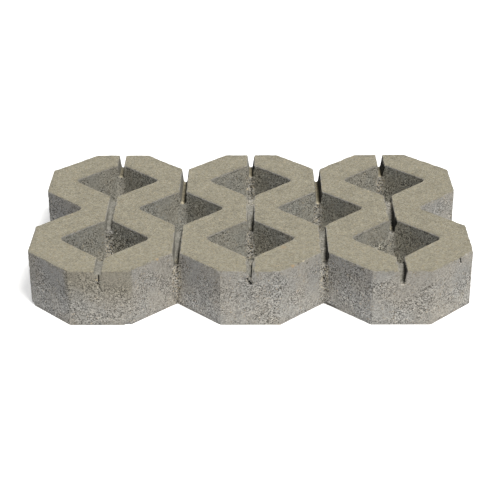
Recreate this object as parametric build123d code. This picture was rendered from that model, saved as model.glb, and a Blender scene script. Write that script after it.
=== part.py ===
from build123d import *
import math
import os

# A concrete grass paver, vibrated and pressed in one piece from dry concrete.
# Octagonal cells stand side by side in rows. Each cell has a square soil opening, set corner to corner
# with its neighbours, and a like opening lies between each four cells. Along the paver's edges these
# become half openings, and at its corners quarter openings, so pavers laid together carry on the lattice.
# The whole openings are wider at the top, where the mould's cores are drawn out of the fresh concrete.
# Narrow grooves, pressed into the top, run across the paver through every row of openings.
# The origin is at the middle of the underside, +X runs along the paver, +Y across it and +Z up.

# Driving dimensions, in millimetres
CELL_PITCH = 200.0  # centre to centre of neighbouring cells, along and across
CELLS_ALONG = 3  # cells in the paver's length
CELLS_ACROSS = 2  # cells in its width
THICKNESS = 80.0  # laid height, top face to underside
CELL_FLAT = 80.0  # length of each flat on a cell's outside, where pavers butt
OPENING_CORNER_RADIUS = 10.0  # round of an opening's upright corners
GROOVE_MOUTH_WIDTH = 10.0  # groove across its top
GROOVE_FLOOR_WIDTH = 4.5  # groove across its floor, before rounding
GROOVE_DEPTH = 20.0  # top face to the groove's floor
GROOVE_FLOOR_RADIUS = 2.0  # round between the groove's floor and its walls
CUT_OVERRUN = 5.0  # how far a cutting shape passes the faces that it cuts
EDGE_TOLERANCE = 0.01  # nearer than this to an edge, a corner counts as on it

OPENING_TURN = 45.0  # degrees that an opening is turned from the paver's edges
OPENING_DRAFT = 1.5  # degrees that a whole opening's walls lean out towards the top

# Sizes that follow
length = CELLS_ALONG * CELL_PITCH
width = CELLS_ACROSS * CELL_PITCH
opening_diagonal = CELL_PITCH - CELL_FLAT  # corner to corner, so that openings leave the flats between them
opening_side = opening_diagonal / math.sqrt(2)  # at the underside
draft_per_mm = math.tan(math.radians(OPENING_DRAFT))


def outline_plan():
    """The paver from above, before its cores: its rectangle, less the half and quarter openings at its edges.

    The cells' own corners stay sharp, on the rectangle, and the half openings' corners inside it are rounded.
    """
    opening = Rot(Z=OPENING_TURN) * Rectangle(opening_side, opening_side)
    between_cells = GridLocations(CELL_PITCH, CELL_PITCH, CELLS_ALONG + 1, CELLS_ACROSS + 1)
    edge_openings = [place * opening for place in between_cells if not lies_inside_edges(place.position)]
    sharp_plan = Rectangle(length, width) - edge_openings
    return fillet(sharp_plan.vertices().filter_by(lies_inside_edges), OPENING_CORNER_RADIUS)


def lies_inside_edges(point):
    """Whether a point of the plan is off the paver's straight edges."""
    return abs(point.X) < length / 2 - EDGE_TOLERANCE and abs(point.Y) < width / 2 - EDGE_TOLERANCE


def rises(edge):
    """Whether an edge runs up a core rather than round its foot or head."""
    return abs(edge.tangent_at(0).Z) > abs(edge.tangent_at(0).X)


def cores():
    """One core for each whole opening, in the cells and between them: a square block, wider at its head."""
    foot_side = opening_side - 2 * draft_per_mm * CUT_OVERRUN
    foot = Pos(Z=-CUT_OVERRUN) * Rot(Z=OPENING_TURN) * Rectangle(foot_side, foot_side)
    sharp_core = extrude(foot, THICKNESS + 2 * CUT_OVERRUN, taper=-OPENING_DRAFT)
    core = fillet(sharp_core.edges().filter_by(rises), OPENING_CORNER_RADIUS)
    in_cells = GridLocations(CELL_PITCH, CELL_PITCH, CELLS_ALONG, CELLS_ACROSS)
    between_cells = GridLocations(CELL_PITCH, CELL_PITCH, CELLS_ALONG - 1, CELLS_ACROSS - 1)
    return [place * core for place in (*in_cells, *between_cells)]


def groove_section():
    """Cross-section of one groove, seen along +Y, its mouth on the top face: tapered, with a round floor."""
    half_mouth = GROOVE_MOUTH_WIDTH / 2
    half_floor = GROOVE_FLOOR_WIDTH / 2
    spread_per_mm = (half_mouth - half_floor) / GROOVE_DEPTH
    half_above = half_mouth + spread_per_mm * CUT_OVERRUN
    floor = THICKNESS - GROOVE_DEPTH
    above = THICKNESS + CUT_OVERRUN
    section = Plane.XZ * Polygon(
        (-half_floor, floor), (half_floor, floor), (half_above, above), (-half_above, above), align=None
    )
    floor_corners = section.vertices().group_by(Axis.Z)[0]
    return fillet(floor_corners, GROOVE_FLOOR_RADIUS)


def grooves():
    """A groove on the middle of each cell, and one between each two cells, right across the paver."""
    one_groove = extrude(groove_section(), width / 2 + CUT_OVERRUN, both=True)
    groove_pitch = CELL_PITCH / 2
    groove_count = 2 * CELLS_ALONG - 1
    return [place * one_groove for place in GridLocations(groove_pitch, width, groove_count, 1)]


def grass_paver():
    """The whole paver: the outline at its full height, less the cores and the grooves."""
    return extrude(outline_plan(), THICKNESS) - cores() - grooves()


os.makedirs("parts", exist_ok=True)
export_step(grass_paver(), "parts/grass_paver.step")
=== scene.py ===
import math
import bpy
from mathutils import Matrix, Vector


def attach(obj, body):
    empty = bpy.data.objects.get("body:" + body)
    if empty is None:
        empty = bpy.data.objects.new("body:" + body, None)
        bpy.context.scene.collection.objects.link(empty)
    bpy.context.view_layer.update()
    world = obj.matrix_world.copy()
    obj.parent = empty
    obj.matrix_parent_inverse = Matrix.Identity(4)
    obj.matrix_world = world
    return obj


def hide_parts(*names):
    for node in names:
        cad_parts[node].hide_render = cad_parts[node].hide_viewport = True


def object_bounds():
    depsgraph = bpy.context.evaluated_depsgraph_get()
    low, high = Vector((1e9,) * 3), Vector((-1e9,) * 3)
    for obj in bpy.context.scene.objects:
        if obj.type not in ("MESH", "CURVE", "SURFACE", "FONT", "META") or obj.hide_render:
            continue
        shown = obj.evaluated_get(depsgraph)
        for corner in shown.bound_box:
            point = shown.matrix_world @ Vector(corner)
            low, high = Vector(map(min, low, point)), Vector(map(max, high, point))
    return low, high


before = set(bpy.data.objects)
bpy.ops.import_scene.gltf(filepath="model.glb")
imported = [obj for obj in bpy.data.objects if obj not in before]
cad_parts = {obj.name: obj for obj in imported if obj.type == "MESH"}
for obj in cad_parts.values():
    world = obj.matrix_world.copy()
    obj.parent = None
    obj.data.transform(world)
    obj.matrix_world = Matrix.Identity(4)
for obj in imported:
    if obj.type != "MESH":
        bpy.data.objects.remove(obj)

from types import SimpleNamespace

import bmesh
import bpy
from mathutils import Matrix, Vector, noise

cad_low, cad_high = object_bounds()

# The paver is one block of dry concrete, vibrated and pressed in a steel mould and stripped at once.
# The press closes its top and the upper part of its walls. Lower down the walls stay open and grainy,
# their arrises crumble a little, and the groove blades leave rough seams where they were drawn out.
MM = 0.001
paver_height = cad_high.z - cad_low.z
front = cad_low.y
seam_pitch = 100 * MM  # the blades stand this far apart along the paver, one of them at its middle
blade_depth = 20 * MM
blade_reach = 7 * MM  # to each side of a blade's middle
groove_floor = paver_height - blade_depth
weld_distance = 0.01 * MM  # corners of the cast form's loose triangles that are nearer than this are one
slump_seed = 1  # for the lumps' roughness

# Places and sizes in the tables below are in millimetres.
# Concrete that slumped back into the grooves: each lump's least and greatest place along and across,
# and the heights of its top at its front and back ends
slumps = (
    ((-210.0, -188.0), (-203, -157), (76.6, 77.8)),
    ((-8.0, -1.0), (-203, -159), (78.0, 78.0)),
    ((1.0, 8.0), (-203, -160), (79.3, 79.3)),
    ((-106.0, -94.0), (-141, -61), (60.0, 77.5)),
    ((-10.0, 10.0), (-6, 39), (78.2, 79.2)),
    ((-6.0, 6.0), (-39, 8), (60.0, 77.0)),
    ((-212.0, -188.0), (-44.5, 39), (68.0, 78.6)),
    ((94.0, 106.0), (-141, -61), (62.0, 77.5)),
    ((194.0, 206.0), (-39, 39), (59.0, 77.5)),
    ((194.0, 206.0), (-203, -161), (59.0, 77.0)),
)
# Knocks on corners and arrises: the middle and radius of the ball that fits each hollow
knocks = (
    ((-303, -143, -3), 9.0),
    ((-44, -203, 83), 8.0),
    ((-163, -203, -3), 7.0),
    ((72, -172, 83), 5.0),
    ((-123, -168, 84), 6.0),
    ((283, -162, 83), 5.5),
    ((303, -137, 82), 6.0),
    ((-262, -183, 82.5), 5.0),
)
# Cracks and slits, each from end to end and half its width
cracks = (
    ((279.0, -161.0, 81), (281.5, -158.5, 71), 0.7),
    ((-198.6, -200, 76), (-198.9, -200, 65), 0.8),
    ((-200.8, -200, 62.5), (-200.2, -200, 61.5), 1.1),
    ((-200.2, -200, 60), (-195.5, -200, 50.5), 0.3),
    ((0.1, -203, 79), (0.0, -203, 64), 0.8),
    ((0.1, -200, 79), (0.4, -160, 79), 0.7),
    ((-1.2, -200, 63), (0.4, -200, 61), 1.6),
    ((-4.2, -200, 69), (-2.6, -200, 67.5), 0.8),
    ((-105.5, -145.5, 17), (-100, -141, 4), 0.5),
    ((99.6, -141, 39), (100.3, -141, 37), 1.0),
    ((103, -143, 2.0), (116, -156, 1.5), 0.5),
)
# Loose crumbs at the groove ends and in the seams: the middle and reach of each place
crumb_places = (
    ((-200.5, -200, 66), 5.0),
    ((-1.5, -199, 66), 6.0),
    ((201.0, -200, 62), 5.0),
    ((-195.5, -28, 77), 5.0),
    ((-195.5, -8, 79), 5.0),
    ((-100.5, -143, 58), 6.0),
    ((0.0, 24, 78), 18.0),
    ((-1.0, -43, 60), 7.0),
    ((97.5, -90, 75), 8.0),
    ((97.5, -112, 69), 8.0),
    ((98.5, -140, 61), 8.0),
    ((199.0, 22, 76), 14.0),
    ((199.0, -43, 60), 6.0),
)
# Walls that the mould left smooth
smooth_places = (
    ((86, -154, 20), 30.0),
    ((-128, -168, 21), 26.0),
    ((270, -170, 55), 24.0),
    ((-255, -185, 60), 26.0),
    ((-72, -168, 66), 32.0),
    ((62, -178, 60), 28.0),
)
# Walls that came out rough, with deep voids
rough_places = (
    ((-181, -59, 50), 28.0),
    ((-44, -82, 22), 20.0),
    ((186, -56, 40), 18.0),
)
# Inner corners where little crumbled under the blade
quiet_corners = (
    ((200, -38, 40), 50.0),
    ((-100, 62, 40), 45.0),
    ((-200, 158, 40), 45.0),
)
# Single stones and stains that show on the arrises: the middle, reach and colour of each
marks = (
    ((56.7, -183.3, 80), 4.4, (0.45, 0.33, 0.20)),
    ((45.0, -128.0, 80), 6.0, (0.40, 0.32, 0.22)),
    ((70.9, -169.1, 80), 2.6, (0.62, 0.55, 0.40)),
    ((64.7, -175.3, 80), 1.8, (0.09, 0.08, 0.06)),
    ((75.6, -164.4, 74), 2.0, (0.10, 0.09, 0.07)),
    ((-123.3, -163.3, 80), 3.6, (0.44, 0.33, 0.20)),
    ((289.8, -150.2, 80), 3.6, (0.52, 0.50, 0.43)),
    ((-236.5, -200, 65), 2.4, (0.43, 0.40, 0.32)),
    ((-201.4, -200, 67.5), 1.8, (0.60, 0.48, 0.28)),
    ((202.2, -200, 62.5), 1.8, (0.36, 0.31, 0.22)),
)


class Sketch:
    """A node tree being drawn. Its methods add steps to the tree, and most return an output socket."""

    def __init__(self, tree):
        self.tree = tree

    def node(self, kind, inputs=None, **settings):
        made = self.tree.nodes.new(kind)
        for name, value in settings.items():
            setattr(made, name, value)
        for name, value in (inputs or {}).items():
            self.feed(made.inputs[name], value)
        return made

    def feed(self, socket, value):
        if isinstance(value, bpy.types.NodeSocket):
            self.tree.links.new(value, socket)
        elif socket.type == "RGBA":
            socket.default_value = (*value, 1.0)
        else:
            socket.default_value = value

    def math(self, operation, first, second=0.0):
        made = self.node("ShaderNodeMath", operation=operation)
        self.feed(made.inputs[0], first)
        self.feed(made.inputs[1], second)
        return made.outputs[0]

    def times(self, first, *others):
        for other in others:
            first = self.math("MULTIPLY", first, other)
        return first

    def plus(self, first, *others):
        for other in others:
            first = self.math("ADD", first, other)
        return first

    def most(self, first, *others):
        for other in others:
            first = self.math("MAXIMUM", first, other)
        return first

    def unsigned(self, value):
        """A value without its sign."""
        return self.math("ABSOLUTE", value)

    def less(self, share):
        """One less a share."""
        return self.math("SUBTRACT", 1.0, share)

    def between(self, share, first, second):
        """Goes from the first value to the second as share goes from 0 to 1."""
        return self.plus(self.times(first, self.less(share)), self.times(second, share))

    def blend(self, share, first, second):
        """Goes from the first colour to the second as share goes from 0 to 1."""
        made = self.node("ShaderNodeMix", data_type="RGBA")
        self.feed(made.inputs["Factor"], share)
        self.feed(made.inputs["A"], first)
        self.feed(made.inputs["B"], second)
        return made.outputs["Result"]

    def vector(self, operation, first, second=None):
        made = self.node("ShaderNodeVectorMath", operation=operation)
        self.feed(made.inputs[0], first)
        if second is not None:
            self.feed(made.inputs["Scale" if operation == "SCALE" else 1], second)
        return made.outputs["Value" if operation in ("LENGTH", "DOT_PRODUCT") else "Vector"]

    def parts(self, vector):
        made = self.node("ShaderNodeSeparateXYZ", {"Vector": vector}).outputs
        return made["X"], made["Y"], made["Z"]

    def pick(self, choice, first, second):
        """The first vector, or the second one where choice is 1."""
        sockets = {"Switch": choice, "False": first, "True": second}
        return self.node("GeometryNodeSwitch", sockets, input_type="VECTOR").outputs[0]

    def ramp(self, value, low, high, at_low=0.0, at_high=1.0):
        """Runs smoothly from at_low to at_high as value goes from low to high."""
        sockets = {"Value": value, "From Min": low, "From Max": high, "To Min": at_low, "To Max": at_high}
        return self.node("ShaderNodeMapRange", sockets, interpolation_type="SMOOTHSTEP").outputs["Result"]

    def offset(self, value, first, pitch):
        """How far a value is past the nearest of evenly spaced places, or before it where negative."""
        steps = self.math("DIVIDE", self.math("SUBTRACT", value, first), pitch)
        return self.times(self.math("SUBTRACT", steps, self.math("ROUND", steps)), pitch)

    def noise(self, place, grain_size, detail=2.0, roughness=0.5):
        """Cloudy value from 0 to 1 whose lumps are about grain_size across."""
        sockets = {"Vector": place, "Scale": 1 / grain_size, "Detail": detail, "Roughness": roughness}
        return self.node("ShaderNodeTexNoise", sockets).outputs[0]

    def grains(self, place, grain_size):
        """Packed grains: a point's distance from its grain's middle, in grain sizes, and two chances."""
        made = self.node("ShaderNodeTexVoronoi", {"Vector": place, "Scale": 1 / grain_size})
        tone_chance, kind_chance, _ = self.parts(made.outputs["Color"])
        return made.outputs["Distance"], tone_chance, kind_chance

    def near(self, place, middle, reach):
        """One at a point given in millimetres, falling to nothing at its reach."""
        full_share = 0.4
        away = self.vector("LENGTH", self.vector("SUBTRACT", place, Vector(middle) * MM))
        return self.ramp(away, reach * MM, full_share * reach * MM)

    def near_any(self, place, places):
        """The most of what is near several places."""
        share = self.near(place, *places[0])
        for middle, reach in places[1:]:
            share = self.most(share, self.near(place, middle, reach))
        return share

    def off_line(self, place, start, end):
        """How far a point is from a line between two points in millimetres, depth counting for less."""
        depth_share = 0.3
        flatter = Vector((1.0, depth_share, 1.0))
        start, end = Vector(start) * MM * flatter, Vector(end) * MM * flatter
        run = end - start
        from_start = self.vector("SUBTRACT", self.vector("MULTIPLY", place, flatter), start)
        share = self.vector("DOT_PRODUCT", from_start, run / run.length_squared)
        share = self.math("MINIMUM", self.most(share, 0.0), 1.0)
        foot = self.vector("SCALE", tuple(run), share)
        return self.vector("LENGTH", self.vector("SUBTRACT", from_start, foot))

    def moved(self, piece, offset):
        """A piece whose points are each moved by an offset."""
        return self.node("GeometryNodeSetPosition", {"Geometry": piece, "Offset": offset}).outputs[0]

    def placed(self, piece, place):
        """A piece whose points are each put at a place."""
        return self.node("GeometryNodeSetPosition", {"Geometry": piece, "Position": place}).outputs[0]

    def kept_between(self, piece, lowest, highest):
        """A piece whose points stay inside a box."""
        place = self.node("GeometryNodeInputPosition").outputs[0]
        return self.placed(piece, self.vector("MINIMUM", self.vector("MAXIMUM", place, lowest), highest))

    def stored(self, piece, name, value, domain="POINT"):
        """A piece that keeps a value under a name, for its material or for other trees."""
        sockets = {"Geometry": piece, "Name": name, "Value": value}
        made = self.node("GeometryNodeStoreNamedAttribute", sockets, data_type="FLOAT", domain=domain)
        return made.outputs[0]


def new_tree(name, piece, inputs):
    """A Geometry Nodes tree that takes and gives back one piece, and has other inputs of the kinds given."""
    tree = bpy.data.node_groups.new(name, "GeometryNodeTree")
    tree.interface.new_socket(piece, in_out="INPUT", socket_type="NodeSocketGeometry")
    for socket_name, kind in inputs.items():
        tree.interface.new_socket(socket_name, in_out="INPUT", socket_type="NodeSocket" + kind)
    tree.interface.new_socket(piece, in_out="OUTPUT", socket_type="NodeSocketGeometry")
    return tree


def from_blade(s, along):
    """How far a place along the paver is from the middle of the nearest blade."""
    to_positive = 10 * seam_pitch  # whole pitches, past the paver's left end
    nearest = s.math("PINGPONG", s.plus(along, to_positive), seam_pitch / 2)
    past_last = s.math("SUBTRACT", s.unsigned(along), cad_high.x - seam_pitch / 2)
    return s.most(nearest, past_last)


def off_outline(s, along, across):
    """One inside the paver, nothing on its outer faces."""
    nearest, clear = 3 * MM, 8 * MM
    off_sides = s.ramp(s.unsigned(across), cad_high.y - nearest, cad_high.y - clear)
    off_ends = s.ramp(s.unsigned(along), cad_high.x - nearest, cad_high.x - clear)
    return s.times(off_sides, off_ends)


def beside_whole_opening(s, along, across):
    """One beside the whole openings, nothing beside the paver's outline and the grooves."""
    opening_half = 60 * MM
    along, across = s.unsigned(along), s.unsigned(across)
    share = s.ramp(from_blade(s, along), blade_reach, blade_reach + 3 * MM)
    cut_openings = ((seam_pitch, cad_high.y), (cad_high.x, 0.0), (cad_high.x, cad_high.y))
    for middle_along, middle_across in cut_openings:
        off_along = s.unsigned(s.math("SUBTRACT", along, middle_along))
        off_across = s.unsigned(s.math("SUBTRACT", across, middle_across))
        off = s.plus(off_along, off_across)
        share = s.times(share, s.ramp(off, opening_half + 6 * MM, opening_half + 12 * MM))
    return s.times(share, off_outline(s, along, across))


def drawn_seam(s, place):
    """Masks of the seams that the blades' ends leave in the inner corners: the crevice and its crumbs."""
    crevice_shift = -1.8 * MM  # the crevice lies to the right of the blade's middle
    quiet_share = 0.3
    along, across, height = s.parts(place)
    wander = s.times(s.math("SUBTRACT", s.noise(place, 9 * MM), 0.5), 4 * MM)
    off_blade = from_blade(s, s.plus(along, wander))
    inner = off_outline(s, along, across)
    inner = s.times(inner, s.ramp(height, groove_floor - 0.3 * MM, groove_floor - 2.5 * MM))
    for middle, reach in quiet_corners:
        quiet = s.near(place, middle, reach)
        inner = s.times(inner, s.ramp(quiet, 0.0, 1.0, 1.0, quiet_share))
    below_blade = s.ramp(height, groove_floor - 10 * MM, groove_floor - 4 * MM, 0.6, 1.0)
    right_edge = from_blade(s, s.plus(along, s.times(wander, 0.4), crevice_shift))
    crevice = s.times(s.ramp(right_edge, 1.7 * MM, 0.7 * MM), inner, below_blade)
    strewn = s.ramp(s.noise(place, 12 * MM, 2.0), 0.3, 0.55, 0.45, 1.0)
    crumbs = s.times(s.ramp(off_blade, 8.5 * MM, 4.5 * MM), inner, strewn)
    crumbs = s.times(crumbs, s.ramp(height, 0.0, 35 * MM, 0.35, 1.0))
    return crevice, crumbs


def knocked(s, block, place):
    """The block with every point inside a knock's ragged ball pushed out of it."""
    raggedness = 0.7
    ragged = s.math("SUBTRACT", s.noise(place, 4 * MM, 3.0), 0.5)
    for middle, radius in knocks:
        away = s.vector("SUBTRACT", place, Vector(middle) * MM)
        ball = s.times(s.plus(1.0, s.times(ragged, raggedness)), radius * MM)
        push = s.most(s.math("SUBTRACT", ball, s.vector("LENGTH", away)), 0.0)
        block = s.moved(block, s.vector("SCALE", s.vector("NORMALIZE", away), push))
    return block


def sharp_cornered(s, block, along, across):
    """The block with the inner corners of its front and back edge openings drawn in from round to sharp."""
    corner_radius = 10 * MM
    corner_across = 144 * MM  # from the paver's middle to the round corner
    fade = 14 * MM  # into the block
    off_corner = s.unsigned(s.math("SUBTRACT", s.unsigned(along), seam_pitch))
    squared = s.math("SUBTRACT", corner_radius**2, s.times(off_corner, off_corner))
    arc = s.math("SQRT", s.most(squared, 0.0))
    sharper = s.math("SUBTRACT", corner_radius * math.sqrt(2), s.plus(off_corner, arc))
    sharper = s.times(sharper, s.math("LESS_THAN", off_corner, corner_radius / math.sqrt(2)))
    sharper = s.times(sharper, s.ramp(s.unsigned(across), corner_across - fade, corner_across))
    inward = s.times(sharper, s.math("SIGN", across), -1.0)
    return s.moved(block, s.node("ShaderNodeCombineXYZ", {"Y": inward}).outputs[0])


# Masks that the relief works out and keeps for the colours
kept_masks = (
    "top_skin", "void", "groove", "inside", "shade_side", "bare_floor", "floor_end", "left_lip",
    "worn", "crumbly", "open_face", "coarse", "rim", "filled", "left_face",
)


def find_cast_form(s, spot, cast_object):
    """Works out a point's nearest sharp edge of the cast form, and where the point belongs on that form.

    Points near the form's sharp edges and faces go back onto them, and slumped concrete stays as it is.
    """
    sharp_fold = math.radians(30)
    to_face, to_edge = 1.2 * MM, 0.8 * MM
    form = s.node("GeometryNodeObjectInfo", {"Object": cast_object}).outputs["Geometry"]
    form = s.node("GeometryNodeMergeByDistance", {"Geometry": form, "Distance": weld_distance}).outputs[0]
    fold = s.node("GeometryNodeInputMeshEdgeAngle").outputs["Unsigned Angle"]
    sharp = {"Geometry": form, "Selection": s.math("GREATER_THAN", fold, sharp_fold)}
    edges = s.node("GeometryNodeSeparateGeometry", sharp, domain="EDGE").outputs[0]
    edge = s.node("GeometryNodeProximity", {"Geometry": edges}, target_element="EDGES").outputs
    side = s.node("GeometryNodeProximity", {"Geometry": form}, target_element="FACES").outputs
    spot.from_edge, spot.edge_place = edge["Distance"], edge["Position"]
    cast = s.pick(s.math("LESS_THAN", side["Distance"], to_face), spot.place, side["Position"])
    spot.cast_place = s.pick(s.math("LESS_THAN", spot.from_edge, to_edge), cast, spot.edge_place)
    return form


def find_arrises(s, spot):
    """Works out the pressed top, the walls, and the rims and darker arrises between them."""
    ragged = s.times(s.math("SUBTRACT", s.noise(spot.place, 3 * MM), 0.5), 1.2 * MM)
    spot.top = s.ramp(s.plus(spot.height, ragged), paver_height - 1.6 * MM, paver_height - 0.5 * MM)
    under = s.ramp(spot.height, 1.2 * MM, 0.2 * MM)
    spot.wall = s.times(s.less(spot.top), s.less(under))
    at_top = s.ramp(spot.height, paver_height - 12 * MM, paver_height - 6 * MM)
    spot.opening_arris = s.times(beside_whole_opening(s, spot.along, spot.across), at_top)
    one_way = s.offset(s.plus(spot.along, spot.across), seam_pitch, 2 * seam_pitch)
    other_way = s.offset(s.math("SUBTRACT", spot.along, spot.across), seam_pitch, 2 * seam_pitch)
    spot.behind = s.ramp(s.math("SUBTRACT", one_way, other_way), -4 * MM, 4 * MM)
    spot.off_blade = from_blade(s, spot.along)

    toward_edge = s.vector("NORMALIZE", s.vector("SUBTRACT", spot.edge_place, spot.place))
    edge_along, edge_across, _ = s.parts(toward_edge)
    rim = s.times(s.ramp(spot.from_edge, 2.6 * MM, 1.2 * MM), s.ramp(edge_along, -0.3, -0.6), spot.top)
    spot.rim = s.times(rim, s.ramp(edge_across, -0.5, -0.2))
    clear_of_blade = s.ramp(spot.off_blade, blade_reach, blade_reach + 3 * MM)
    worn = s.times(s.ramp(spot.from_edge, 5 * MM, 0.5 * MM), at_top, clear_of_blade)
    outer_darkening = s.ramp(spot.face_along, -0.3, -0.6, 0.4, 0.9)
    spot.worn = s.times(worn, s.between(spot.opening_arris, outer_darkening, spot.behind))


def find_grooves(s, spot):
    """Works out the seams and the grooves, in line with the blades, and the grooves' own parts."""
    spot.crevice, seam = drawn_seam(s, spot.place)
    spot.seam = s.times(seam, spot.wall)
    past_blade = s.offset(spot.along, 0.0, seam_pitch)
    groove = s.ramp(spot.height, groove_floor - 3 * MM, groove_floor - 0.5 * MM)
    groove = s.times(groove, s.ramp(spot.off_blade, blade_reach, blade_reach - 1 * MM), spot.wall)
    groove = s.times(groove, s.ramp(s.unsigned(spot.face_across), 0.75, 0.5))
    groove = s.times(groove, s.ramp(s.unsigned(spot.across), cad_high.y - 0.5 * MM, cad_high.y - 2 * MM))
    spot.groove = groove

    # Bare floors, but for their ends, and painted shade and shadow on their right sides and on the right
    # walls there, which face away from the sun
    in_back_bars = s.ramp(spot.across, 48 * MM, 52 * MM)
    floor_end = s.times(s.ramp(spot.from_edge, 14 * MM, 5 * MM), s.less(in_back_bars))
    on_floor = s.ramp(spot.height, groove_floor + 4 * MM, groove_floor + 1 * MM)
    spot.bare_floor = s.times(groove, on_floor, s.less(floor_end))
    right_of_floor = s.plus(past_blade, s.ramp(spot.along, 150 * MM, 180 * MM, 0.0, 0.8 * MM))
    right_of_floor = s.ramp(right_of_floor, 0.9 * MM, 1.9 * MM)
    low_down = s.ramp(spot.height, groove_floor + 9 * MM, groove_floor + 4 * MM)
    right_of_floor = s.times(right_of_floor, low_down)
    right_of_floor = s.times(right_of_floor, s.ramp(spot.along, -180 * MM, -120 * MM))
    right_of_floor = s.times(right_of_floor, s.less(s.times(floor_end, 0.6)))
    below_mouth = s.ramp(spot.height, paver_height - 2 * MM, paver_height - 6 * MM)
    right_wall = s.most(s.ramp(spot.along, -60 * MM, -20 * MM), below_mouth)
    right_wall = s.times(right_wall, s.ramp(spot.face_along, -0.6, -0.9))
    spot.shade_side = s.times(groove, s.most(right_wall, right_of_floor))
    near_floor = s.ramp(spot.height, groove_floor + 6 * MM, groove_floor + 3 * MM)
    spot.floor_end = s.times(groove, near_floor, floor_end)

    # Slumped concrete that fills some grooves, and the left lips of those at the left, darker as painted
    # shade
    above_floor = s.ramp(spot.height, groove_floor + 4 * MM, groove_floor + 8 * MM)
    spot.filled = s.times(groove, s.ramp(spot.face_up, 0.3, 0.7), above_floor)
    on_lip = s.ramp(past_blade, -1.5 * MM, -3.5 * MM)
    spot.left_lip = s.times(groove, on_lip, s.ramp(spot.along, -50 * MM, -90 * MM))


def find_walls(s, spot, form):
    """Works out which walls are inside openings, how open and coarse they are, and where they crumble."""
    opening_reach, wall_clearance = 150 * MM, 12 * MM
    rough_gain = 1.8
    start = s.vector("ADD", spot.place, s.vector("SCALE", spot.normal, wall_clearance))
    ray = {"Target Geometry": form, "Source Position": start, "Ray Direction": spot.normal}
    ray["Ray Length"] = opening_reach
    meets_wall = s.node("GeometryNodeRaycast", ray).outputs["Is Hit"]
    spot.inside = s.times(meets_wall, spot.wall)
    spot.left_face = s.times(s.ramp(spot.face_along, -0.3, -0.6), spot.wall, s.less(spot.inside))
    spot.crumbly = s.most(spot.seam, s.near_any(spot.place, crumb_places))

    closed_band = s.ramp(s.noise(spot.place, 60 * MM, 2.0), 0.35, 0.6, 0.05, 0.5)
    openness = s.ramp(spot.height, paver_height - 22 * MM, paver_height - 8 * MM)
    openness = s.less(s.times(openness, s.less(closed_band), s.less(spot.inside)))
    openness = s.times(openness, s.ramp(s.noise(spot.place, 35 * MM, 3.0), 0.3, 0.6, 0.6, 1.0))
    not_smooth = s.ramp(s.near_any(spot.place, smooth_places), 0.0, 1.0, 1.0, 0.35)
    spot.open_face = s.times(s.most(openness, spot.seam), spot.wall, not_smooth)
    turned_left = s.ramp(spot.face_along, -0.3, -0.6, 1.07, 1.4)
    turned = s.times(turned_left, s.ramp(spot.face_along, 0.3, 0.6, 1.0, 0.95))
    spot.coarse = s.between(spot.inside, turned, s.ramp(spot.face_along, -0.3, 0.3, 1.4, 1.0))
    for middle, reach in rough_places:
        spot.coarse = s.plus(spot.coarse, s.times(s.near(spot.place, middle, reach), rough_gain))


def sunk_walls(s, spot, given):
    """How deep voids between the grains, lumps, drag marks from the mould and torn seams sink the walls."""
    void_middle, void_chance, _ = s.grains(spot.place, 4 * MM)
    void = s.times(s.ramp(void_middle, 0.55, 0.2), s.ramp(void_chance, 0.66, 0.8), spot.open_face)
    spot.wall_void = s.times(void, s.ramp(spot.seam, 0.0, 0.5, 1.0, 0.1))
    lumps = s.times(s.noise(spot.place, 5 * MM, 3.0, 0.65), s.most(spot.open_face, 0.3), spot.wall)
    drawn_out = s.vector("MULTIPLY", spot.place, (1.0, 1.0, 0.06))
    drag = s.times(s.noise(drawn_out, 3 * MM), spot.wall)
    torn = s.plus(spot.seam, s.times(spot.crevice, 0.4))
    sunk = s.times(spot.wall_void, given["Void depth"], s.ramp(spot.coarse, 1.8, 2.6, 1.0, 2.2))
    sunk = s.plus(sunk, s.times(lumps, given["Lump height"]), s.times(drag, given["Drag depth"]))
    sunk = s.plus(sunk, s.times(torn, s.noise(spot.place, 2.5 * MM, 2.0), given["Seam depth"]))
    return s.times(sunk, s.less(s.times(spot.groove, 0.6)))


def sunk_top(s, spot, given, sunk):
    """Adds a faint unevenness and a few small pits to the near flat top."""
    pit_depth = 0.8 * MM
    pit_middle, pit_chance, _ = s.grains(spot.place, 8 * MM)
    pit = s.times(s.ramp(pit_middle, 0.22, 0.1), s.ramp(pit_chance, 0.9, 0.93), spot.top)
    spot.void = s.most(spot.wall_void, pit)
    sunk = s.plus(sunk, s.times(s.noise(spot.place, 30 * MM, 3.0), spot.top, given["Top unevenness"]))
    return s.plus(sunk, s.times(pit, pit_depth))


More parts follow.
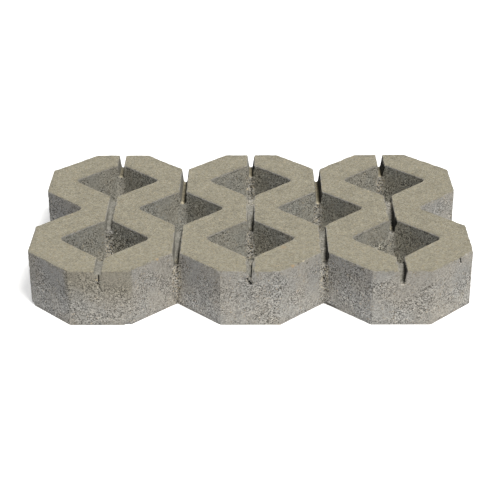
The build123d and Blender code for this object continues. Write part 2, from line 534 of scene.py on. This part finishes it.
def sunk_arrises(s, spot, given, sunk):
    """Adds the crumbled arrises, each lost to a depth that varies along it."""
    chance = s.noise(spot.place, 14 * MM, 3.0, 0.6)
    foot = s.ramp(spot.height, 0.0, 10 * MM, 0.3, 1.0)
    outer_bite = s.times(s.ramp(chance, 0.4, 0.75, 0.25, 1.6), given["Arris wear"], foot)
    outer_bite = s.times(outer_bite, s.ramp(spot.face_along, -0.15, -0.4, 1.0, 3.2))
    opening_bite = s.times(s.ramp(chance, 0.35, 0.65, 0.4, 1.7), given["Opening wear"])
    opening_bite = s.times(opening_bite, s.between(spot.behind, 0.25, 1.0))
    bite = s.between(spot.opening_arris, outer_bite, opening_bite)
    bite = s.times(bite, s.plus(0.6, s.noise(spot.place, 3 * MM)))
    off_floor = s.unsigned(s.math("SUBTRACT", spot.height, groove_floor))
    lip = s.times(s.ramp(off_floor, 8 * MM, 3 * MM), s.ramp(spot.off_blade, 5.5 * MM, 3.5 * MM))
    lip = s.times(lip, off_outline(s, spot.along, spot.across))
    bite = s.most(bite, s.times(lip, s.plus(0.5, s.noise(spot.place, 4 * MM)), given["Lip wear"]))
    broken = s.most(s.math("SUBTRACT", bite, spot.from_edge), 0.0)
    spot.top_skin = s.times(spot.top, s.ramp(broken, 0.7 * MM, 0.2 * MM))
    return s.plus(sunk, s.times(broken, 0.8))


def sunk_cracks(s, spot, sunk):
    """Adds the cracks, sunk along their lines."""
    crack_depth = 1.8 * MM
    crack_flank, crack_floor = 1.2, 0.4  # in millimetres, as the cracks are
    for start, end, half_width in cracks:
        off_crack = s.off_line(spot.place, start, end)
        crack = s.ramp(off_crack, (half_width + crack_flank) * MM, crack_floor * MM)
        sunk = s.plus(sunk, s.times(crack, crack_depth))
    return sunk


def relief_tree():
    """Works the concrete's relief into a finely divided block and keeps masks for its colours."""
    wears = ("Arris wear", "Opening wear", "Lip wear")
    depths = ("Void depth", "Lump height", "Drag depth", "Seam depth", "Top unevenness")
    inputs = {"Cast form": "Object", **dict.fromkeys((*wears, *depths), "Float")}
    tree = new_tree("concrete_relief", "Block", inputs)
    s = Sketch(tree)
    given = s.node("NodeGroupInput").outputs

    # A spot holds what is known of a point of the surface, and the functions that find or sink add to it
    spot = SimpleNamespace(place=s.node("GeometryNodeInputPosition").outputs[0])
    spot.normal = s.node("GeometryNodeInputNormal").outputs[0]
    spot.along, spot.across, spot.height = s.parts(spot.place)
    spot.face_along, spot.face_across, spot.face_up = s.parts(spot.normal)
    form = find_cast_form(s, spot, given["Cast form"])
    find_arrises(s, spot)
    find_grooves(s, spot)
    find_walls(s, spot, form)

    block = s.placed(given["Block"], spot.cast_place)
    block = knocked(s, block, spot.place)
    block = sharp_cornered(s, block, spot.along, spot.across)
    sunk = sunk_walls(s, spot, given)
    sunk = sunk_top(s, spot, given, sunk)
    sunk = sunk_arrises(s, spot, given, sunk)
    sunk = sunk_cracks(s, spot, sunk)
    for name in kept_masks:
        block = s.stored(block, name, getattr(spot, name))
    block = s.moved(block, s.vector("SCALE", spot.normal, s.times(sunk, -1.0)))
    s.node("NodeGroupOutput", {"Block": block})
    return tree


def finish_tree():
    """Keeps a piece inside the mould's box, sets its sharp edges and gives it its material."""
    inputs = {"Lowest": "Vector", "Highest": "Vector", "Sharp from": "Float", "Finish": "Material"}
    tree = new_tree("stripped_piece", "Piece", inputs)
    s = Sketch(tree)
    given = s.node("NodeGroupInput").outputs
    piece = s.kept_between(given["Piece"], given["Lowest"], given["Highest"])
    piece = s.node("GeometryNodeSetShadeSmooth", {"Geometry": piece}, domain="FACE").outputs[0]
    fold = s.node("GeometryNodeInputMeshEdgeAngle").outputs["Unsigned Angle"]
    blunt = s.node("FunctionNodeCompare", operation="LESS_THAN")
    s.feed(blunt.inputs["A"], fold)
    s.feed(blunt.inputs["B"], given["Sharp from"])
    smooth = {"Geometry": piece, "Shade Smooth": blunt.outputs[0]}
    piece = s.node("GeometryNodeSetShadeSmooth", smooth, domain="EDGE").outputs[0]
    piece = s.node("GeometryNodeRealizeInstances", {"Geometry": piece}).outputs[0]
    piece = s.node("GeometryNodeSetMaterial", {"Geometry": piece, "Material": given["Finish"]}).outputs[0]
    s.node("NodeGroupOutput", {"Piece": piece})
    return tree


def add_nodes(obj, name, tree, values):
    """Gives an object a node modifier, its inputs set by the identifiers of their named sockets."""
    made = obj.modifiers.new(name, "NODES")
    made.node_group = tree
    sockets = {i.name: i.identifier for i in tree.interface.items_tree if i.in_out == "INPUT"}
    for socket_name, value in values.items():
        made[sockets[socket_name]] = value


def merged_copy(source, name):
    """A new object with a copy of a cast form's mesh, its loose triangles to be merged."""
    mesh = source.data.copy()
    mesh.name = name
    mesh.materials.clear()
    made = bpy.data.objects.new(name, mesh)
    bpy.context.scene.collection.objects.link(made)
    weld = made.modifiers.new("weld", "WELD")
    weld.merge_threshold = weld_distance
    return made


def add_slumps(obj):
    """Puts rough lumps of concrete into the grooves, no further out than the front."""
    foot = 50 * MM
    rough_grain, rough_height = 3 * MM, 0.9 * MM
    noise.seed_set(slump_seed)
    work = bmesh.new()
    work.from_mesh(obj.data)
    for along_ends, across_ends, tops in slumps:
        low = Vector((along_ends[0] * MM, across_ends[0] * MM, foot))
        high = Vector((along_ends[1] * MM, across_ends[1] * MM, max(tops) * MM))
        lump = bmesh.ops.create_icosphere(work, subdivisions=4, radius=1.0)
        for vertex in lump["verts"]:
            squared = vertex.co / sum(part**4 for part in vertex.co) ** 0.25
            vertex.co = (low + high) / 2 + squared * (high - low) / 2
            top = (tops[0] + (tops[1] - tops[0]) * (squared.y + 1) / 2) * MM
            vertex.co.z = foot + (vertex.co.z - foot) * (top - foot) / (high.z - foot)
            vertex.co += noise.noise_vector(vertex.co / rough_grain) * rough_height
            vertex.co.y = max(vertex.co.y, front)
    work.to_mesh(obj.data)
    work.free()


def frozen(obj):
    """Turns an object's live modifiers into plain mesh."""
    bpy.context.view_layer.update()
    graph = bpy.context.evaluated_depsgraph_get()
    mesh = bpy.data.meshes.new_from_object(obj.evaluated_get(graph), depsgraph=graph)
    obj.modifiers.clear()
    obj.data = mesh
    return obj


ochre = (0.46, 0.36, 0.23)  # of single grains in the walls and the top


def find_grains(s, spot):
    """Works out ragged, packed grains of three sizes, and clouds from hand size to sand size."""
    ragged_grain, ragged_reach = 1.5 * MM, 1.2 * MM
    ragged = {"Vector": spot.place, "Scale": 1 / ragged_grain, "Detail": 2.0}
    jitter = s.node("ShaderNodeTexNoise", ragged).outputs["Color"]
    jitter = s.vector("SCALE", s.vector("SUBTRACT", jitter, (0.5, 0.5, 0.5)), ragged_reach)
    spot.rough_place = s.vector("ADD", spot.place, jitter)
    spot.grain_middle, spot.grain_chance, spot.grain_kind = s.grains(spot.rough_place, 1.45 * MM)
    _, spot.sand_chance, _ = s.grains(spot.rough_place, 0.95 * MM)
    spot.hole_middle, spot.hole_chance, _ = s.grains(spot.rough_place, 2.2 * MM)
    spot.cloud = s.noise(spot.place, 45 * MM, 4.0)
    spot.patch = s.noise(spot.place, 26 * MM, 2.0)
    spot.mottle = s.noise(spot.place, 8 * MM, 3.0)
    spot.fine = s.noise(spot.place, 0.9 * MM, 2.0)


def wall_colour(s, spot):
    """Grey, lighter towards the bed, with pale, dark and ochre grains, and olive holes between them darkened
    as painted shade.
    """
    cool_grey = (0.368, 0.360, 0.338)
    warm_grey = (0.392, 0.370, 0.330)
    damp_brown = (0.30, 0.275, 0.215)
    olive_hole_shade = (0.050, 0.046, 0.034)
    plain_tint = (1.0, 1.0, 1.0)
    left_shade_tint = (0.98, 0.99, 1.02)
    opening_bounce_tint = (0.96, 0.965, 0.915)
    wall = s.blend(s.ramp(spot.cloud, 0.35, 0.65), cool_grey, warm_grey)
    wall = s.blend(s.times(s.ramp(spot.grain_kind, 0.96, 0.98), 0.5), wall, ochre)
    contrast = s.times(spot.coarse, s.ramp(spot.open_face, 0.0, 1.0, 0.48, 1.0))
    contrast = s.times(contrast, s.ramp(spot.patch, 0.35, 0.65, 0.65, 1.3))
    tone = s.times(s.ramp(spot.grain_chance, 0.0, 1.0, -0.35, 0.32), contrast)
    tone = s.plus(tone, s.times(s.ramp(spot.sand_chance, 0.0, 1.0, -0.32, 0.30), contrast))
    tone = s.most(s.plus(1.0, tone, s.ramp(spot.fine, 0.3, 0.7, -0.1, 0.1)), 0.15)
    tone = s.times(tone, s.ramp(spot.height, 8 * MM, 62 * MM, 1.12, 0.965))
    # Painted shade: darker along the foot, where the wall meets the floor
    tone = s.times(tone, s.ramp(spot.height, 1 * MM, 7 * MM, 0.86, 1.0))
    # Darker towards the left; the second step, over the left cell, is painted shade
    tone = s.times(tone, s.ramp(spot.along, -85 * MM, -135 * MM, 1.0, 0.94))
    tone = s.times(tone, s.ramp(spot.along, -180 * MM, -280 * MM, 1.0, 0.94))
    # Painted light: left-facing walls are lighter low down, as light thrown up from the floor, and darker
    # higher up
    left_bounce_tone = s.ramp(spot.height, 12 * MM, 58 * MM, 1.12, 0.96)
    tone = s.times(tone, s.between(spot.left_face, 1.0, left_bounce_tone))
    on_front = s.ramp(spot.across, front + 8 * MM, front + 2 * MM)
    stain_height = s.plus(spot.height, s.times(spot.cloud, 30 * MM))
    stain = s.times(s.ramp(spot.along, -130 * MM, -150 * MM), on_front)
    stain = s.times(stain, s.ramp(stain_height, 40 * MM, 80 * MM, 0.1, 1.0))
    wall = s.blend(s.times(stain, 0.7), wall, damp_brown)
    # Painted light: left-facing walls, in shade, are tinted bluer, and walls inside openings yellower, as if
    # lit by light bounced from the beige top
    painted_light_tint = s.blend(spot.inside, s.blend(spot.left_face, plain_tint, left_shade_tint), opening_bounce_tint)
    wall = s.vector("MULTIPLY", s.vector("SCALE", wall, tone), painted_light_tint)
    # Holes and the mesh's voids are darkened: painted shade in the hollows
    hole = s.times(s.ramp(spot.hole_middle, 0.46, 0.26), s.ramp(spot.hole_chance, 0.62, 0.68))
    hole = s.times(hole, s.ramp(contrast, 0.6, 1.0))
    spot.hole = s.most(hole, s.times(spot.void, s.ramp(spot.coarse, 1.8, 2.6, 0.25, 0.9)))
    return s.blend(s.times(spot.hole, 0.9), wall, olive_hole_shade)


def with_grooves(s, spot, wall):
    """Adds grooves: grey where concrete slumped back, tan on the bare floor with painted light, and painted
    shade on their shaded side.
    """
    slumped_grey = (0.362, 0.348, 0.303)
    # The bare floor's own tan, made lighter as painted light where the walls shade the floor
    tan_with_painted_light = (0.56, 0.505, 0.37)
    # Painted shade: the shade side is made nearly black
    painted_shade_tone = 0.05
    # Holes, shaded left lips and the shade side get painted shade; fills and floor ends are only darker
    darker = ((spot.hole, 0.75), (spot.filled, 0.8), (spot.left_lip, 0.8))
    darker += ((spot.shade_side, painted_shade_tone), (spot.floor_end, 0.6))
    tone = s.times(s.ramp(spot.grain_chance, 0.0, 1.0, 0.75, 1.25), s.ramp(spot.mottle, 0.3, 0.7, 0.85, 1.15))
    for share, tone_there in darker:
        tone = s.times(tone, s.between(share, 1.0, tone_there))
    colour = s.blend(spot.bare_floor, slumped_grey, tan_with_painted_light)
    return s.blend(spot.groove, wall, s.vector("SCALE", colour, tone))


def with_seams(s, spot, wall):
    """Adds seams and cracks: black, grey, tan and pale crumbs beside a crevice, with painted shade in the
    crevice and the cracks.
    """
    grey_crumb = (0.46, 0.445, 0.41)
    tan_crumb = (0.51, 0.45, 0.34)
    crack_edge = 0.4  # in millimetres, as the cracks are
    crack_shade_tone = 0.08
    crevice, seam = drawn_seam(s, spot.place)
    seam = s.most(seam, s.times(spot.crumbly, 0.65))
    crumb = s.blend(s.ramp(spot.grain_kind, 0.55, 0.8), grey_crumb, tan_crumb)
    dark_or_grey = s.ramp(spot.grain_chance, 0.18, 0.36, 0.08, 0.92)
    tone = s.plus(dark_or_grey, s.ramp(spot.grain_chance, 0.6, 0.85, 0.0, 0.5))
    tone = s.times(tone, s.ramp(spot.hole_chance, 0.1, 0.9, 0.8, 1.2))
    wall = s.blend(s.times(seam, 0.9), wall, s.vector("SCALE", crumb, tone))
    # Painted shade in the crevice, dotted, and along the cracks and slits
    dark = s.ramp(s.plus(crevice, spot.sand_chance), 1.35, 1.5)
    for start, end, half_width in cracks:
        off_crack = s.off_line(spot.rough_place, start, end)
        dark = s.most(dark, s.ramp(off_crack, (half_width + crack_edge) * MM, half_width * MM))
    return s.vector("SCALE", wall, s.between(dark, 1.0, crack_shade_tone))


def top_colour(s, spot):
    """Beige, with fine sand just showing in the skin and a few dark and ochre specks."""
    top_beige = (0.345, 0.322, 0.254)
    sandy_beige = (0.345, 0.315, 0.232)
    speck_tone, rim_tone = 0.42, 1.14
    weathered = s.ramp(s.plus(spot.across, s.times(spot.cloud, 60 * MM)), -90 * MM, -40 * MM)
    tone = s.times(s.ramp(spot.grain_chance, 0.0, 1.0, 0.80, 1.20), s.ramp(spot.fine, 0.3, 0.7, 0.92, 1.08))
    tone = s.times(tone, s.ramp(spot.mottle, 0.3, 0.7, 0.94, 1.06))
    freckled = s.plus(1.0, s.times(s.ramp(spot.sand_chance, 0.0, 1.0, -0.2, 0.2), weathered))
    tone = s.times(tone, freckled, s.ramp(s.times(spot.patch, weathered), 0.45, 0.65, 1.0, 0.92))
    speck_chance = s.plus(spot.hole_chance, s.times(weathered, 0.03))
    spot.speck = s.times(s.ramp(spot.hole_middle, 0.42, 0.24), s.ramp(speck_chance, 0.91, 0.93))
    skin = s.blend(s.ramp(s.noise(spot.place, 5 * MM, 2.0), 0.4, 0.65), top_beige, sandy_beige)
    skin = s.blend(s.times(s.ramp(spot.grain_kind, 0.94, 0.96), 0.45), skin, ochre)
    tone = s.times(tone, s.between(spot.speck, 1.0, speck_tone), s.between(spot.rim, 1.0, rim_tone))
    return s.vector("SCALE", skin, tone)


def fine_relief(s, spot):
    """Relief too fine for the mesh: grains and holes on the walls, sand and specks on the top."""
    bump_height = 0.5 * MM
    wall_height = s.math("SUBTRACT", s.ramp(spot.grain_middle, 0.6, 0.1, 0.0, 0.5), spot.hole)
    wall_height = s.plus(wall_height, s.times(spot.fine, 0.3))
    skin_height = s.plus(s.times(spot.fine, 0.1), s.times(spot.sand_chance, 0.05), s.times(spot.speck, -0.4))
    relief = s.plus(s.times(wall_height, s.less(spot.top_skin)), s.times(skin_height, spot.top_skin))
    bump = s.node("ShaderNodeBump", {"Height": relief, "Distance": bump_height, "Strength": 0.55})
    return bump.outputs["Normal"]


def concrete_material():
    """Pressed concrete: a close beige skin on top and open grey grit on the walls."""
    arris_tone = 0.76
    mark_strength = 0.85
    material = bpy.data.materials.new("pressed_concrete")
    material.use_nodes = True
    tree = material.node_tree
    shader = tree.nodes["Principled BSDF"]
    s = Sketch(tree)

    # A spot holds what is known of a point of the surface, with the masks that the relief kept
    spot = SimpleNamespace(place=s.node("ShaderNodeTexCoord").outputs["Object"])
    spot.along, spot.across, spot.height = s.parts(spot.place)
    for name in (*kept_masks, "grit_tone"):
        setattr(spot, name, s.node("ShaderNodeAttribute", attribute_name=name).outputs["Fac"])
    find_grains(s, spot)
    wall = wall_colour(s, spot)
    wall = with_grooves(s, spot, wall)
    wall = with_seams(s, spot, wall)

    # Whole surface: arrises are darker, most on left-facing sides and at the openings' back edges, loose grit
    # has tones of its own, and single marks show
    surface = s.blend(spot.top_skin, wall, top_colour(s, spot))
    tone = s.times(s.between(spot.worn, 1.0, arris_tone), s.plus(1.0, spot.grit_tone))
    surface = s.vector("SCALE", surface, tone)
    for middle, reach, colour in marks:
        share = s.times(s.near(spot.rough_place, middle, reach), mark_strength)
        surface = s.blend(share, surface, colour)
    s.feed(shader.inputs["Base Color"], surface)
    s.feed(shader.inputs["Normal"], fine_relief(s, spot))
    shader.inputs["Roughness"].default_value = 0.92
    shader.inputs["Specular IOR Level"].default_value = 0.2
    return material


cast_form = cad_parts["grass_paver"]
paver = merged_copy(cast_form, "paver_body")
add_slumps(paver)
draft_voxel, final_voxel = 3.0 * MM, 1.5 * MM
fine_mesh = paver.modifiers.new("fine_mesh", "REMESH")
fine_mesh.mode = "VOXEL"
fine_mesh.voxel_size = final_voxel
add_nodes(paver, "relief", relief_tree(), {
    "Cast form": cast_form,
    "Arris wear": 0.7 * MM,
    "Opening wear": 1.0 * MM,
    "Lip wear": 2.0 * MM,
    "Void depth": 0.7 * MM,
    "Lump height": 0.3 * MM,
    "Drag depth": 0.25 * MM,
    "Seam depth": 0.8 * MM,
    "Top unevenness": 0.3 * MM,
})
frozen(paver)
concrete = concrete_material()
most_triangles = 190_000
triangles = 2 * len(paver.data.polygons)
if triangles > most_triangles:
    thin = paver.modifiers.new("thin", "DECIMATE")
    thin.ratio = most_triangles / triangles
add_nodes(paver, "finish", finish_tree(), {
    "Lowest": cad_low,
    "Highest": cad_high,
    "Sharp from": math.radians(35),
    "Finish": concrete,
})
frozen(paver)
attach(paver, "root")
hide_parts("grass_paver")

# The grit is sand and fine gravel that stands proud of the open walls, and loose crumbs in the seams.
# It is the same concrete: each grain is bound in at its foot, and is paler or darker than the paste.
grain_sink_share = 0.15  # of a grain's size
crumb_tone_reach, grain_tone_reach = 0.3, 0.35


def grit_tree():
    """Strews half sunk grains over a paver's open walls, thickly where it is crumbly."""
    amounts = ("Grains a square metre", "Crumbs a square metre", "Finest", "Coarsest", "Crumb growth")
    inputs = {"Body": "Object", **dict.fromkeys(amounts, "Float"), "Seed": "Int"}
    inputs.update({"Lowest": "Vector", "Highest": "Vector", "Finish": "Material"})
    tree = new_tree("proud_grit", "Paver", inputs)
    s = Sketch(tree)
    given = s.node("NodeGroupInput").outputs

    def mask(name):
        made = s.node("GeometryNodeInputNamedAttribute", {"Name": name}, data_type="FLOAT")
        return made.outputs["Attribute"]

    def chance(kind, low, high, step):
        made = s.node("FunctionNodeRandomValue", data_type=kind)
        sockets = [i for i in made.inputs if i.enabled]
        s.feed(sockets[0], low)
        s.feed(sockets[1], high)
        s.feed(sockets[-1], s.math("ADD", given["Seed"], step))
        return next(o for o in made.outputs if o.enabled)

    body = s.node("GeometryNodeObjectInfo", {"Object": given["Body"]}).outputs["Geometry"]
    sound = s.times(mask("open_face"), s.less(mask("groove")))
    density = s.times(sound, given["Grains a square metre"])
    density = s.plus(density, s.times(mask("crumbly"), given["Crumbs a square metre"]))
    strewn = {"Mesh": body, "Density": density, "Seed": given["Seed"]}
    spots = s.node("GeometryNodeDistributePointsOnFaces", strewn)
    coarseness = s.math("POWER", chance("FLOAT", 0.0, 1.0, 1), 2.0)
    size = s.between(coarseness, given["Finest"], given["Coarsest"])
    size = s.times(size, s.between(mask("crumbly"), 1.0, given["Crumb growth"]))
    stretch = s.vector("SCALE", chance("FLOAT_VECTOR", (0.7, 0.7, 0.7), (1.2, 1.2, 1.2), 2), size)
    turn = chance("FLOAT_VECTOR", (0.0, 0.0, 0.0), (math.tau, math.tau, math.tau), 3)
    grain = s.node("GeometryNodeMeshIcoSphere", {"Radius": 0.5, "Subdivisions": 1}).outputs["Mesh"]
    sink = s.vector("SCALE", spots.outputs["Normal"], s.times(size, -grain_sink_share))
    seated = s.moved(spots.outputs["Points"], sink)
    grains = {"Points": seated, "Instance": grain, "Rotation": turn, "Scale": stretch}
    grit = s.node("GeometryNodeInstanceOnPoints", grains).outputs["Instances"]
    tone_reach = s.between(mask("crumbly"), grain_tone_reach, crumb_tone_reach)
    grit = s.stored(grit, "grit_tone", s.times(chance("FLOAT", -1.0, 1.0, 4), tone_reach), "INSTANCE")
    grit = s.node("GeometryNodeRealizeInstances", {"Geometry": grit}).outputs[0]
    grit = s.kept_between(grit, given["Lowest"], given["Highest"])
    grit = s.node("GeometryNodeSetMaterial", {"Geometry": grit, "Material": given["Finish"]}).outputs[0]
    s.node("NodeGroupOutput", {"Paver": grit})
    return tree


grit = bpy.data.objects.new("wall_grit", bpy.data.meshes.new("wall_grit"))
bpy.context.scene.collection.objects.link(grit)
add_nodes(grit, "grit", grit_tree(), {
    "Body": paver,
    "Grains a square metre": 14_000.0,
    "Crumbs a square metre": 200_000.0,
    "Finest": 0.9 * MM,
    "Coarsest": 2.4 * MM,
    "Crumb growth": 0.6,
    "Seed": 7,
    "Lowest": cad_low,
    "Highest": cad_high,
    "Finish": concrete,
})
frozen(grit)
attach(grit, "root")

# The floor is a plain pale ground under the paver, wide enough to fill every view.
# The camera sees it white where no shadow falls, and it throws less light back than it shows.
floor_half = 6.0
floor_drop = 0.05 * MM
floor_lit_colour = (0.78, 0.78, 0.78)
floor_seen_colour = (1.0, 1.0, 1.0)
floor_seen_glow = 0.45
floor_corners = ((-1, -1), (1, -1), (1, 1), (-1, 1))
floor_points = [(x * floor_half, y * floor_half, cad_low.z - floor_drop) for x, y in floor_corners]
floor_mesh = bpy.data.meshes.new("floor")
floor_mesh.from_pydata(floor_points, [], [(0, 1, 2, 3)])
floor = bpy.data.objects.new("floor", floor_mesh)
bpy.context.scene.collection.objects.link(floor)


def seen_directly(s):
    """One for what the camera sees straight or in gloss, nothing for what lights the paver."""
    rays = s.node("ShaderNodeLightPath").outputs
    return s.most(rays["Is Camera Ray"], rays["Is Glossy Ray"], rays["Is Transmission Ray"])


def floor_material():
    """Matt white ground that shows brighter than it lights."""
    material = bpy.data.materials.new("pale_floor")
    material.use_nodes = True
    s = Sketch(material.node_tree)
    shader = material.node_tree.nodes["Principled BSDF"]
    seen = seen_directly(s)
    s.feed(shader.inputs["Base Color"], s.blend(seen, floor_lit_colour, floor_seen_colour))
    shader.inputs["Roughness"].default_value = 1.0
    shader.inputs["Specular IOR Level"].default_value = 0.0
    shader.inputs["Emission Color"].default_value = (*floor_seen_colour, 1.0)
    s.feed(shader.inputs["Emission Strength"], s.times(seen, floor_seen_glow))
    return material


floor_mesh.materials.append(floor_material())

# The light is a sun through thin haze, high to the front right, and a pale sky all round.
# The sky looks white, and gives about a third of that as light, so that the paver's shades stay soft.
haze = bpy.data.lights.new("hazy_sun", "SUN")
haze.angle = math.radians(20)
haze.energy = 2.6
haze.color = (1.0, 0.985, 0.955)
sun = bpy.data.objects.new("hazy_sun", haze)
sun_toward = Vector((0.256, -0.35, 0.68))
sun.rotation_euler = sun_toward.to_track_quat("Z", "Y").to_euler()
bpy.context.scene.collection.objects.link(sun)

sky_light, sky_seen = 0.32, 1.0
world = bpy.data.worlds.new("sky")
bpy.context.scene.world = world
world.use_nodes = True
sky = Sketch(world.node_tree)
background = world.node_tree.nodes["Background"]
sky_range = {"Value": seen_directly(sky), "To Min": sky_light, "To Max": sky_seen}
sky.feed(background.inputs["Strength"], sky.node("ShaderNodeMapRange", sky_range).outputs["Result"])
background.inputs["Color"].default_value = (1.0, 1.0, 1.0, 1.0)

# The camera stands in front of the paver and looks down on it, where the photograph was taken from.
# Its place, angles and lens are those that fit the corners of the paver's outline.
camera_data = bpy.data.cameras.new("camera")
camera_data.sensor_width = 36.0
camera_data.lens = 99.64
camera = bpy.data.objects.new("camera", camera_data)
camera_place = Vector((0.00729, -1.80928, 0.90454))
camera_yaw, camera_pitch, camera_roll = math.radians(-0.265), math.radians(26.242), math.radians(-0.2235)
camera.matrix_world = (
    Matrix.Translation(camera_place)
    @ Matrix.Rotation(-camera_yaw, 4, "Z")
    @ Matrix.Rotation(math.pi / 2 - camera_pitch, 4, "X")
    @ Matrix.Rotation(camera_roll, 4, "Z")
)
bpy.context.scene.collection.objects.link(camera)
bpy.context.scene.camera = camera
bpy.context.scene.view_settings.view_transform = "Standard"
